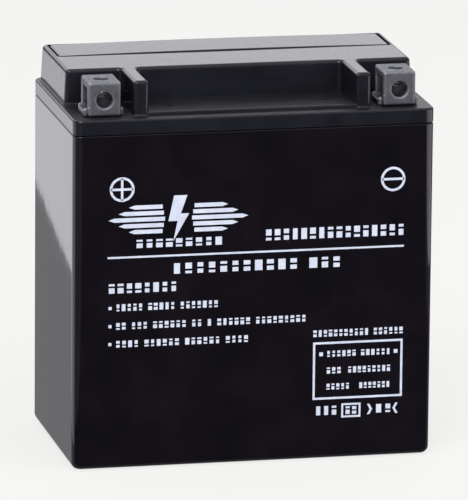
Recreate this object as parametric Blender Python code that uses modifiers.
# Sealed lead-acid motorcycle battery with block terminals, as it comes apart on a bench.
# Metres, +Z up. The origin is the centre of the base; +X runs along the case from the
# positive end to the negative end, and the printed face looks along -Y.

import math

import bmesh
import bpy
from mathutils import Matrix, Vector

# ---- Driving dimensions -------------------------------------------------------------

# Container
case_length = 0.150
case_depth = 0.087
case_corner_radius = 0.003
base_edge_radius = 0.003
seam_height = 0.1395
seam_chamfer = 0.0003
wall = 0.0025
floor_thickness = 0.003
partition = 0.0015
cell_count = 6
cell_corner_radius = 0.0008
rest_rail_width = 0.002
rest_rail_height = 0.002
rest_rail_offset = 0.020

# Clearance between pieces that touch
fit_gap = 0.0003

# Lid
flange_height = 0.0062
flange_edge_radius = 0.0009
ledge = 0.0022
block_draft = 0.0007
deck_rise = 0.0145
deck_corner_radius = 0.0018
deck_edge_radius = 0.001
front_bay_depth = 0.0322
bay_corner_radius = 0.002
rib_width = 0.0062
rib_corner_radius = 0.0014
rib_setback = 0.0057
rib_to_terminal = 0.00525
centre_floor_rise = 0.001
centre_lip_rise = 0.0005
centre_lip_width = 0.0012
centre_setback = 0.0002
lid_wall = 0.0025
web_step = 0.0002
post_boss_height = 0.0034

# Cover plate over the valves, and the trough below it
cover_back_margin = 0.0014
cover_width = 0.0245
cover_thickness = 0.0018
cover_bow = 0.0005
cover_slices = 12
cover_corner_radius = 0.0015
cover_edge_radius = 0.0003
cover_pad_radius = 0.004
cover_pad_height = 0.0008
seat_width = 0.0015
trough_depth = 0.0105
trough_end_clearance = 0.00066

# Valve necks and rubber caps
neck_radius = 0.0055
neck_bore_radius = 0.0035
neck_height = 0.0055
cap_wall = 0.001
cap_top = 0.0012
cap_skirt = 0.0042
cap_bead = 0.0004

# Terminals, one at each front corner
terminal_length = 0.0135
terminal_depth = 0.0165
terminal_height = 0.0142
terminal_side_setback = 0.00695
terminal_front_setback = 0.0058
terminal_edge_radius = 0.0011
slot_height = 0.0093
slot_floor = 0.002
slot_corner_radius = 0.0012
bolt_radius = 0.003
bolt_clearance = 0.0003
foot_overhang = 0.0016
foot_height = 0.0032
foot_depth = 0.012
foot_corner_radius = 0.001
foot_edge_radius = 0.0006
stem_radius = 0.0042
stem_length = 0.0055
post_radius = 0.0024
post_collar_radius = 0.004
post_collar_height = 0.003
post_engagement = 0.0045
post_chamfer = 0.0003
post_collar_slope = 0.001

# Square nut for the same bolt, loose in the terminal's slot
nut_size = 0.010
nut_thickness = 0.005
nut_thread_depth = 0.0004
nut_corner_bevel = 0.0004
nut_face_bevel = 0.0003

# Post seals
seal_ring_wire = 0.0016
seal_ring_sides = 8
resin_height = 0.0015

# Plate groups and separators
positive_plate = 0.0015
negative_plate = 0.0012
separator_sheet = 0.0006
plate_side_clearance = 0.0035
separator_overhang = 0.003
strap_clearance = 0.0012
strap_thickness = 0.0055
strap_width = 0.013
lug_width = 0.008
weld_tab_thickness = 0.002
weld_tab_height = 0.012
weld_tab_headroom = 0.0025
weld_tab_gap = 0.0005
connector_radius = 0.0035

round_steps = 24
small_round_steps = 20
bolt_hole_steps = 32

# ---- Places worked out from them ----------------------------------------------------

half_length = case_length / 2
half_depth = case_depth / 2
inner_half_length = half_length - wall
inner_half_depth = half_depth - wall
cell_width = (2 * inner_half_length - (cell_count - 1) * partition) / cell_count
cell_pitch = cell_width + partition
cell_centres = [(i - (cell_count - 1) / 2) * cell_pitch for i in range(cell_count)]

flange_base = seam_height + fit_gap
flange_top = flange_base + flange_height
deck_height = flange_top + deck_rise
block_half_length = half_length - ledge - block_draft
deck_back = half_depth - ledge - block_draft
deck_front = -half_depth + front_bay_depth
rib_front = -half_depth + rib_setback

cap_inner_radius = neck_radius + fit_gap
cap_radius = cap_inner_radius + cap_wall
trough_inset = seat_width - fit_gap
trough_half_length = cell_centres[-1] + cap_radius + cap_bead + trough_end_clearance
cover_half_length = trough_half_length + trough_inset
cover_back = deck_back - cover_back_margin
cover_front = cover_back - cover_width
cover_seat = deck_height - cover_thickness - fit_gap
trough_floor = deck_height - trough_depth
valve_row = (cover_front + cover_back) / 2
neck_top = trough_floor + neck_height

terminal_x = half_length - terminal_side_setback - terminal_length / 2
terminal_y = -half_depth + terminal_front_setback + terminal_depth / 2
terminal_base = flange_top + fit_gap
slot_base = terminal_base + slot_floor
slot_width = nut_size + 2 * fit_gap
bolt_hole_radius = bolt_radius + bolt_clearance
nut_bore_radius = bolt_radius - nut_thread_depth
slot_middle = slot_base + slot_height / 2
rib_outer = terminal_x - terminal_length / 2 - rib_to_terminal
stem_bottom = terminal_base - stem_length
post_hole_radius = stem_radius + fit_gap
seal_pocket_radius = post_hole_radius + seal_ring_wire + fit_gap
pocket_floor_underside = flange_top - lid_wall
post_boss_bottom = pocket_floor_underside - post_boss_height

weld_tab_top = seam_height - weld_tab_headroom
strap_top = weld_tab_top - weld_tab_height
strap_bottom = strap_top - strap_thickness
separator_top = strap_bottom - strap_clearance
plate_top = separator_top - separator_overhang
plate_bottom = floor_thickness + rest_rail_height + fit_gap
plate_half_width = inner_half_depth - plate_side_clearance
plate_step = positive_plate + negative_plate + 2 * separator_sheet + 4 * fit_gap
positive_count = int((cell_width - 2 * fit_gap - negative_plate) / plate_step)
connector_height = strap_top + weld_tab_height / 2
connector_row = abs(terminal_y)


# ---- Scene set-up -------------------------------------------------------------------

for leftover in list(bpy.data.objects):
    bpy.data.objects.remove(leftover, do_unlink=True)

battery = bpy.data.collections.new("motorcycle_battery")
cutters = bpy.data.collections.new("battery_cutters")
bpy.context.scene.collection.children.link(battery)
bpy.context.scene.collection.children.link(cutters)


def make_material(name, colour, roughness, metallic=0.0):
    material = bpy.data.materials.new(name)
    material.use_nodes = True
    shader = material.node_tree.nodes["Principled BSDF"]
    shader.inputs["Base Color"].default_value = (*colour, 1.0)
    shader.inputs["Roughness"].default_value = roughness
    shader.inputs["Metallic"].default_value = metallic
    material.diffuse_color = (*colour, 1.0)
    return material


def black_case(name):
    return make_material(name, (0.012, 0.012, 0.015), 0.35)


def lead(name):
    return make_material(name, (0.20, 0.20, 0.21), 0.5, 1.0)


# ---- Shape helpers ------------------------------------------------------------------

def new_object(name, bm, material=None):
    """Store a bmesh as a finished piece, or as a hidden tool when it has no material."""
    mesh = bpy.data.meshes.new(name)
    bm.to_mesh(mesh)
    bm.free()
    piece = bpy.data.objects.new(name, mesh)
    if material is None:
        cutters.objects.link(piece)
        piece.hide_render = True
        piece.display_type = "WIRE"
    else:
        mesh.materials.append(material)
        battery.objects.link(piece)
    return piece


def combine(target, tool, operation):
    modifier = target.modifiers.new(f"{operation.lower()}_{tool.name}", "BOOLEAN")
    modifier.operation = operation
    modifier.solver = "EXACT"
    modifier.object = tool
    return modifier


def join(target, tool):
    return combine(target, tool, "UNION")


def cut(target, tool):
    return combine(target, tool, "DIFFERENCE")


def smooth_by_angle(piece, degrees=35):
    piece.data.shade_smooth()
    piece.data.set_sharp_from_angle(angle=math.radians(degrees))


def add_box(bm, low, high):
    """Add a box between two corners, and return its new vertices."""
    low, high = Vector(low), Vector(high)
    size = high - low
    placing = Matrix.Translation((low + high) / 2) @ Matrix.Diagonal((*size, 1.0))
    return bmesh.ops.create_cube(bm, size=1.0, matrix=placing)["verts"]


def add_cylinder(bm, centre, radius, length, axis="Z", steps=round_steps):
    turns = {"X": Matrix.Rotation(math.pi / 2, 4, "Y"),
             "Y": Matrix.Rotation(math.pi / 2, 4, "X"),
             "Z": Matrix.Identity(4)}
    placing = Matrix.Translation(Vector(centre)) @ turns[axis]
    return bmesh.ops.create_cone(bm, cap_ends=True, segments=steps, radius1=radius,
                                 radius2=radius, depth=length, matrix=placing)["verts"]


def bevel_edges(bm, edges, radius, segments):
    if radius > 0 and edges:
        bmesh.ops.bevel(bm, geom=edges, offset=radius, offset_type="OFFSET",
                        segments=segments, profile=0.5, affect="EDGES", clamp_overlap=True)


def edges_along(bm, axis):
    return [edge for edge in bm.edges
            if abs((edge.verts[1].co - edge.verts[0].co).normalized()[axis]) > 0.99]


def edges_at(bm, axis, place):
    return [edge for edge in bm.edges
            if all(abs(vert.co[axis] - place) < 1e-6 for vert in edge.verts)]


def rounded_box(low, high, upright=0.0, top=0.0, bottom=0.0, segments=3, axis=2):
    """A box with its edges along one axis rounded, then the rims at both ends of it."""
    bm = bmesh.new()
    add_box(bm, low, high)
    bevel_edges(bm, edges_along(bm, axis), upright, segments)
    bevel_edges(bm, edges_at(bm, axis, high[axis]), top, segments)
    bevel_edges(bm, edges_at(bm, axis, low[axis]), bottom, segments)
    return bm


def boxes(corners):
    bm = bmesh.new()
    for low, high in corners:
        add_box(bm, low, high)
    return bm


def cylinders(centres, radius, length, axis="Z", steps=round_steps):
    bm = bmesh.new()
    for centre in centres:
        add_cylinder(bm, centre, radius, length, axis, steps)
    return bm


def turned(name, profile, place, material, closed=False, steps=round_steps):
    """Turn a profile of (radius, height) points about Z, at a place in the battery."""
    bm = bmesh.new()
    verts = [bm.verts.new((radius, 0.0, height)) for radius, height in profile]
    ends = verts[1:] + (verts[:1] if closed else [])
    for start, end in zip(verts, ends):
        bm.edges.new((start, end))
    piece = new_object(name, bm, material)
    piece.location = place
    screw = piece.modifiers.new("turn", "SCREW")
    screw.steps = steps
    screw.render_steps = steps
    screw.use_merge_vertices = True
    screw.merge_threshold = 0.00001
    return piece


# ---- Container ----------------------------------------------------------------------

def make_container():
    shell = rounded_box((-half_length, -half_depth, 0.0), (half_length, half_depth, seam_height),
                        upright=case_corner_radius, top=seam_chamfer, bottom=base_edge_radius)
    container = new_object("container", shell, black_case("container_plastic"))

    cells = bmesh.new()
    for centre in cell_centres:
        cell = rounded_box((centre - cell_width / 2, -inner_half_depth, floor_thickness),
                           (centre + cell_width / 2, inner_half_depth, seam_height + wall),
                           upright=cell_corner_radius, segments=2)
        cell_mesh = bpy.data.meshes.new("cell_space")
        cell.to_mesh(cell_mesh)
        cell.free()
        cells.from_mesh(cell_mesh)
        bpy.data.meshes.remove(cell_mesh)
    cut(container, new_object("cell_spaces", cells))

    rails = boxes([((-half_length + wall / 2, side * rest_rail_offset - rest_rail_width / 2,
                     floor_thickness / 2),
                    (half_length - wall / 2, side * rest_rail_offset + rest_rail_width / 2,
                     floor_thickness + rest_rail_height))
                   for side in (-1, 1)])
    join(container, new_object("rest_rails", rails))

    holes = cylinders(connector_places(), connector_radius + fit_gap, 3 * partition, "X")
    cut(container, new_object("connector_holes", holes))
    smooth_by_angle(container)


def connector_places():
    """Middles of the welds through the partitions, at the back and the front by turns."""
    places = []
    for i in range(cell_count - 1):
        side = 1 if i % 2 == 0 else -1
        places.append(((cell_centres[i] + cell_centres[i + 1]) / 2,
                       side * connector_row, connector_height))
    return places


# ---- Lid ----------------------------------------------------------------------------

def rounded_corner(before, corner, after, radius, steps=3):
    """Points of a fillet at a right-angled corner of an outline."""
    to_before = (before - corner).normalized()
    to_after = (after - corner).normalized()
    centre = corner + (to_before + to_after) * radius
    points = []
    for i in range(steps + 1):
        angle = math.radians(90) * i / steps
        points.append(centre - to_after * radius * math.cos(angle)
                      - to_before * radius * math.sin(angle))
    return points


def deck_outline():
    """Corners of the raised deck and its two ribs seen from above, with their radii."""
    side, back, front = block_half_length, deck_back, deck_front
    rib_in = rib_outer - rib_width
    right = [((rib_in, front), bay_corner_radius), ((rib_in, rib_front), rib_corner_radius),
             ((rib_outer, rib_front), rib_corner_radius), ((rib_outer, front), bay_corner_radius),
             ((side, front), deck_corner_radius), ((side, back), deck_corner_radius)]
    left = [((-x, y), radius) for (x, y), radius in reversed(right)]
    return right + left


def make_deck_form():
    """The raised deck with its ribs, extruded from its outline and rounded along the top."""
    corners = [(Vector(point), radius) for point, radius in deck_outline()]
    points = []
    for i, (corner, radius) in enumerate(corners):
        before = corners[i - 1][0]
        after = corners[(i + 1) % len(corners)][0]
        points += rounded_corner(before, corner, after, radius)

    base = flange_top - flange_height / 2
    bm = bmesh.new()
    ring = [bm.verts.new((point.x, point.y, base)) for point in points]
    edges = [bm.edges.new((ring[i - 1], ring[i])) for i in range(len(ring))]
    bottom = bmesh.ops.contextual_create(bm, geom=edges)["faces"]
    raised = bmesh.ops.extrude_face_region(bm, geom=bottom)["geom"]
    bmesh.ops.translate(bm, verts=[item for item in raised if isinstance(item, bmesh.types.BMVert)],
                        vec=(0, 0, deck_height - base))
    bmesh.ops.recalc_face_normals(bm, faces=bm.faces[:])
    bevel_edges(bm, edges_at(bm, 2, deck_height), deck_edge_radius, 3)

    # The sides and the back lean in towards the top; the bays and ribs stay upright.
    for vert in bm.verts:
        lean = block_draft * (deck_height - vert.co.z) / deck_rise
        if abs(vert.co.x) > rib_outer + bay_corner_radius + deck_edge_radius:
            vert.co.x += math.copysign(lean, vert.co.x)
        if vert.co.y > cover_front:
            vert.co.y += lean
    return new_object("deck_form", bm)


def cell_spans(limit, inset=0.0):
    """Low and high X of each cell, less an inset, within a limit at both ends of the lid."""
    half = cell_width / 2 - inset
    return [(max(centre - half, -limit), min(centre + half, limit)) for centre in cell_centres]


def terminal_places(height):
    return [(side * terminal_x, terminal_y, height) for side in (-1, 1)]


def make_lid():
    flange = rounded_box((-half_length, -half_depth, flange_base),
                         (half_length, half_depth, flange_top),
                         upright=case_corner_radius, top=flange_edge_radius, bottom=seam_chamfer)
    lid = new_object("lid", flange, black_case("lid_plastic"))
    join(lid, make_deck_form())

    rib_middle = rib_outer - rib_width / 2
    centre_front = rib_front + centre_setback
    centre_floor = rounded_box((-rib_middle, centre_front + centre_lip_width / 2, flange_base + wall),
                               (rib_middle, deck_front + lid_wall, flange_top + centre_floor_rise))
    join(lid, new_object("centre_floor", centre_floor))
    lip_top = flange_top + centre_floor_rise + centre_lip_rise
    lip = rounded_box((-rib_middle, centre_front, flange_base + lid_wall / 2),
                      (rib_middle, centre_front + centre_lip_width, lip_top),
                      upright=centre_lip_rise / 2, segments=2, axis=0)
    join(lid, new_object("centre_lip", lip))

    # Hollows below, one column for each cell: low under the bays, high under the deck
    # strip, and up to the trough floor behind it.
    low = boxes([((x0, -inner_half_depth, flange_base - wall),
                  (x1, inner_half_depth, pocket_floor_underside))
                 for x0, x1 in cell_spans(inner_half_length)])
    cut(lid, new_object("low_hollows", low))
    upper_limit = block_half_length - lid_wall
    strip_back = cover_front - fit_gap + seat_width - lid_wall
    upper_base = flange_base + lid_wall
    strip = boxes([((x0, deck_front + lid_wall, upper_base), (x1, strip_back, deck_height - lid_wall))
                   for x0, x1 in cell_spans(upper_limit, web_step)])
    cut(lid, new_object("strip_hollows", strip))
    under_trough = boxes([((x0, strip_back - lid_wall, upper_base + web_step),
                           (x1, deck_back - lid_wall, trough_floor - lid_wall))
                          for x0, x1 in cell_spans(upper_limit - web_step, 2 * web_step)])
    cut(lid, new_object("under_trough_hollows", under_trough))

    # Seat of the cover plate, the trough inside it, and the six valve necks.
    seat = rounded_box((-cover_half_length - fit_gap, cover_front - fit_gap, cover_seat),
                       (cover_half_length + fit_gap, cover_back + fit_gap, deck_height + wall),
                       upright=cover_corner_radius + fit_gap)
    cut(lid, new_object("cover_seat", seat))
    trough = rounded_box((-trough_half_length, cover_front + trough_inset, trough_floor),
                         (trough_half_length, cover_back - trough_inset, deck_height),
                         upright=cover_corner_radius)
    cut(lid, new_object("trough", trough))
    neck_root = trough_floor - lid_wall / 2
    necks = cylinders([(x, valve_row, (neck_root + neck_top) / 2) for x in cell_centres],
                      neck_radius, neck_top - neck_root)
    join(lid, new_object("necks", necks))
    bores = cylinders([(x, valve_row, trough_floor) for x in cell_centres],
                      neck_bore_radius, 2 * trough_depth, steps=small_round_steps)
    cut(lid, new_object("neck_bores", bores))

    # Bosses that carry the terminal stems, with a pocket for the ring above and one for
    # the resin below.
    boss_top = flange_top - lid_wall / 2
    bosses = cylinders(terminal_places((post_boss_bottom + boss_top) / 2),
                       seal_pocket_radius + wall / 2, boss_top - post_boss_bottom)
    join(lid, new_object("post_bosses", bosses))
    post_holes = cylinders(terminal_places(flange_base), post_hole_radius, 4 * flange_height)
    cut(lid, new_object("post_holes", post_holes))
    ring_pockets = cylinders(terminal_places(flange_top), seal_pocket_radius,
                             2 * (seal_ring_wire + fit_gap))
    cut(lid, new_object("ring_pockets", ring_pockets))
    resin_pockets = cylinders(terminal_places(post_boss_bottom), seal_pocket_radius,
                              2 * (resin_height + fit_gap))
    cut(lid, new_object("resin_pockets", resin_pockets))
    smooth_by_angle(lid)


# ---- Cover plate and valve caps -----------------------------------------------------

def bow_height(x):
    """How far the cover plate stands up above the deck at x."""
    return cover_bow * (1 - (x / cover_half_length) ** 2)


def make_vent_cover():
    bottom = deck_height - cover_thickness
    bm = rounded_box((-cover_half_length, cover_front, bottom),
                     (cover_half_length, cover_back, deck_height),
                     upright=cover_corner_radius, top=cover_edge_radius, segments=2)
    for i in range(1, cover_slices):
        x = cover_half_length * (2 * i / cover_slices - 1)
        bmesh.ops.bisect_plane(bm, geom=bm.verts[:] + bm.edges[:] + bm.faces[:], dist=1e-7,
                               plane_co=(x, 0, 0), plane_no=(1, 0, 0))
    for vert in bm.verts:
        vert.co.z += bow_height(vert.co.x)
    cover = new_object("vent_cover", bm, black_case("cover_plastic"))

    pads = bmesh.new()
    for x in cell_centres:
        top = bottom + bow_height(x) + cover_thickness / 2
        low = bottom + bow_height(x) - cover_pad_height
        add_cylinder(pads, (x, valve_row, (top + low) / 2), cover_pad_radius, top - low,
                     steps=small_round_steps)
    join(cover, new_object("cover_pads", pads))
    smooth_by_angle(cover)


def make_valve_caps():
    inner, outer = cap_inner_radius, cap_radius
    for i, x in enumerate(cell_centres):
        profile = [(0, cap_top), (outer - cap_bead, cap_top), (outer, cap_top - cap_bead),
                   (outer, -cap_skirt + cap_bead), (outer + cap_bead, -cap_skirt + cap_bead / 2),
                   (outer + cap_bead, -cap_skirt), (inner, -cap_skirt), (inner, 0), (0, 0)]
        rubber = make_material(f"cap_rubber_{i + 1}", (0.02, 0.02, 0.02), 0.8)
        cap = turned(f"valve_cap_{i + 1}", profile, (x, valve_row, neck_top + fit_gap), rubber)
        smooth_by_angle(cap)


# ---- Terminals, nuts, posts and seals -----------------------------------------------

def make_terminal(name, side):
    x = side * terminal_x
    low = Vector((x - terminal_length / 2, terminal_y - terminal_depth / 2, terminal_base))
    high = low + Vector((terminal_length, terminal_depth, terminal_height))
    block = bmesh.new()
    add_box(block, low, high)
    bevel_edges(block, block.edges[:], terminal_edge_radius, 3)
    terminal = new_object(f"terminal_{name}", block, lead(f"terminal_lead_{name}"))

    foot = rounded_box((low.x - foot_overhang, terminal_y - foot_depth / 2, terminal_base),
                       (high.x + foot_overhang, terminal_y + foot_depth / 2,
                        terminal_base + foot_height),
                       upright=foot_corner_radius, top=foot_edge_radius, segments=2)
    join(terminal, new_object(f"foot_{name}", foot))
    stem_top = terminal_base + slot_floor / 2
    stem = cylinders([(x, terminal_y, (stem_bottom + stem_top) / 2)],
                     stem_radius, stem_top - stem_bottom)
    join(terminal, new_object(f"stem_{name}", stem))

    slot = rounded_box((low.x - terminal_length, terminal_y - slot_width / 2, slot_base),
                       (high.x + terminal_length, terminal_y + slot_width / 2, slot_base + slot_height),
                       upright=slot_corner_radius, axis=0)
    cut(terminal, new_object(f"slot_{name}", slot))
    top_hole = cylinders([(x, terminal_y, high.z)], bolt_hole_radius, slot_height,
                         steps=bolt_hole_steps)
    cut(terminal, new_object(f"top_hole_{name}", top_hole))
    front_hole = cylinders([(x, low.y, slot_middle)], bolt_hole_radius, slot_width, "Y",
                           steps=bolt_hole_steps)
    cut(terminal, new_object(f"front_hole_{name}", front_hole))
    post_top = stem_bottom + post_engagement + fit_gap
    post_hole = cylinders([(x, terminal_y, post_top - stem_length)],
                          post_radius + fit_gap, 2 * stem_length)
    cut(terminal, new_object(f"post_socket_{name}", post_hole))
    smooth_by_angle(terminal)


def make_nut(name, side):
    centre = Vector((side * terminal_x, terminal_y, slot_base + fit_gap + nut_thickness / 2))
    half = Vector((nut_size, nut_size, nut_thickness)) / 2
    bm = rounded_box(-half, half, upright=nut_corner_bevel, top=nut_face_bevel,
                     bottom=nut_face_bevel, segments=1)
    zinc = make_material(f"nut_zinc_{name}", (0.6, 0.6, 0.62), 0.3, 1.0)
    nut = new_object(f"nut_{name}", bm, zinc)
    nut.location = centre
    bore = cylinders([centre], nut_bore_radius, 2 * nut_thickness)
    cut(nut, new_object(f"nut_bore_{name}", bore))
    smooth_by_angle(nut)


def make_post(name, side):
    foot = strap_top + fit_gap
    top = stem_bottom + post_engagement
    height = top - foot
    profile = [(0, height), (post_radius - post_chamfer, height),
               (post_radius, height - post_chamfer),
               (post_radius, post_collar_height + post_collar_slope),
               (post_collar_radius, post_collar_height), (post_collar_radius, 0), (0, 0)]
    place = (side * terminal_x, terminal_y, foot)
    smooth_by_angle(turned(f"post_{name}", profile, place, lead(f"post_lead_{name}")))


def make_seals(name, side):
    wire = seal_ring_wire / 2
    ring_radius = post_hole_radius + wire
    angles = [math.tau * i / seal_ring_sides for i in range(seal_ring_sides)]
    circle = [(ring_radius + wire * math.sin(angle), wire * math.cos(angle)) for angle in angles]
    place = (side * terminal_x, terminal_y, flange_top - wire)
    rubber = make_material(f"ring_rubber_{name}", (0.02, 0.02, 0.02), 0.7)
    smooth_by_angle(turned(f"seal_ring_{name}", circle, place, rubber, closed=True))

    inner = post_hole_radius
    outer = seal_pocket_radius - fit_gap
    tube = [(outer, resin_height), (outer, 0), (inner, 0), (inner, resin_height)]
    colour = (0.3, 0.02, 0.02) if side < 0 else (0.02, 0.05, 0.3)
    resin = make_material(f"resin_{name}", colour, 0.3)
    place = (side * terminal_x, terminal_y, post_boss_bottom)
    smooth_by_angle(turned(f"resin_seal_{name}", tube, place, resin, closed=True))


# ---- Cells --------------------------------------------------------------------------

def plate_edges():
    """Low and high X of every plate from a cell's middle, negative plates outermost."""
    stack = positive_count * plate_step + negative_plate
    x = -stack / 2
    spans = []
    for i in range(2 * positive_count + 1):
        thickness = negative_plate if i % 2 == 0 else positive_plate
        spans.append((x, x + thickness))
        x += thickness + separator_sheet + 2 * fit_gap
    return spans


def make_plate_group(name, centre, spans, row, tab_side, material):
    """Plates and lugs of one polarity, burnt into a strap. A weld tab stands at one end of
    the strap unless a post does."""
    bm = bmesh.new()
    for x0, x1 in spans:
        add_box(bm, (centre + x0, -plate_half_width, plate_bottom),
                (centre + x1, plate_half_width, plate_top))
    plates = new_object(name, bm, material)

    lugs = boxes([((centre + x0, row - lug_width / 2, plate_top - strap_thickness / 2),
                   (centre + x1, row + lug_width / 2, strap_bottom + strap_thickness / 2))
                  for x0, x1 in spans])
    join(plates, new_object(f"{name}_lugs", lugs))

    stack_half = spans[-1][1]
    tab_reach = cell_width / 2 - weld_tab_gap
    left = -tab_reach if tab_side < 0 else -stack_half
    right = tab_reach if tab_side > 0 else stack_half
    strap = rounded_box((centre + left, row - strap_width / 2, strap_bottom),
                        (centre + right, row + strap_width / 2, strap_top))
    join(plates, new_object(f"{name}_strap", strap))
    if tab_side:
        inner = tab_side * (tab_reach - weld_tab_thickness)
        ends = sorted((inner, tab_side * tab_reach))
        tab = rounded_box((centre + ends[0], row - lug_width / 2, strap_top - strap_thickness / 2),
                          (centre + ends[1], row + lug_width / 2, weld_tab_top))
        join(plates, new_object(f"{name}_tab", tab))


def make_separator(name, centre, spans):
    """One glass-mat sheet folded to and fro round the plates."""
    fold = plate_half_width + fit_gap + separator_sheet / 2
    path = []
    for i in range(len(spans) - 1):
        x = centre + (spans[i][1] + spans[i + 1][0]) / 2
        side = -1 if i % 2 == 0 else 1
        path += [(x, side * fold), (x, -side * fold)]
    bm = bmesh.new()
    verts = [bm.verts.new((x, y, plate_bottom)) for x, y in path]
    for start, end in zip(verts, verts[1:]):
        bm.edges.new((start, end))
    raised = bmesh.ops.extrude_edge_only(bm, edges=bm.edges[:])["geom"]
    bmesh.ops.translate(bm, verts=[item for item in raised if isinstance(item, bmesh.types.BMVert)],
                        vec=(0, 0, separator_top - plate_bottom))
    sheet = new_object(name, bm, make_material(f"{name}_glass_mat", (0.85, 0.85, 0.83), 0.9))
    solid = sheet.modifiers.new("thickness", "SOLIDIFY")
    solid.thickness = separator_sheet
    solid.offset = 0
    solid.use_even_offset = True


def make_cells():
    spans = plate_edges()
    for i, centre in enumerate(cell_centres):
        number = i + 1
        row = -connector_row if i % 2 == 0 else connector_row
        dioxide = make_material(f"lead_dioxide_{number}", (0.10, 0.05, 0.03), 0.8)
        sponge = make_material(f"sponge_lead_{number}", (0.28, 0.29, 0.30), 0.7)
        positive_tab = 0 if i == 0 else -1
        negative_tab = 0 if i == cell_count - 1 else 1
        make_plate_group(f"positive_plates_{number}", centre, spans[1::2], row, positive_tab, dioxide)
        make_plate_group(f"negative_plates_{number}", centre, spans[0::2], -row, negative_tab, sponge)
        make_separator(f"separator_{number}", centre, spans)

    plug_length = partition + 2 * (weld_tab_gap - fit_gap)
    for i, place in enumerate(connector_places()):
        plug = cylinders([place], connector_radius, plug_length, "X")
        smooth_by_angle(new_object(f"cell_connector_{i + 1}", plug, lead(f"connector_lead_{i + 1}")))


make_container()
make_lid()
make_vent_cover()
make_valve_caps()
for polarity, end in (("positive", -1), ("negative", 1)):
    make_terminal(polarity, end)
    make_nut(polarity, end)
    make_post(polarity, end)
    make_seals(polarity, end)
make_cells()
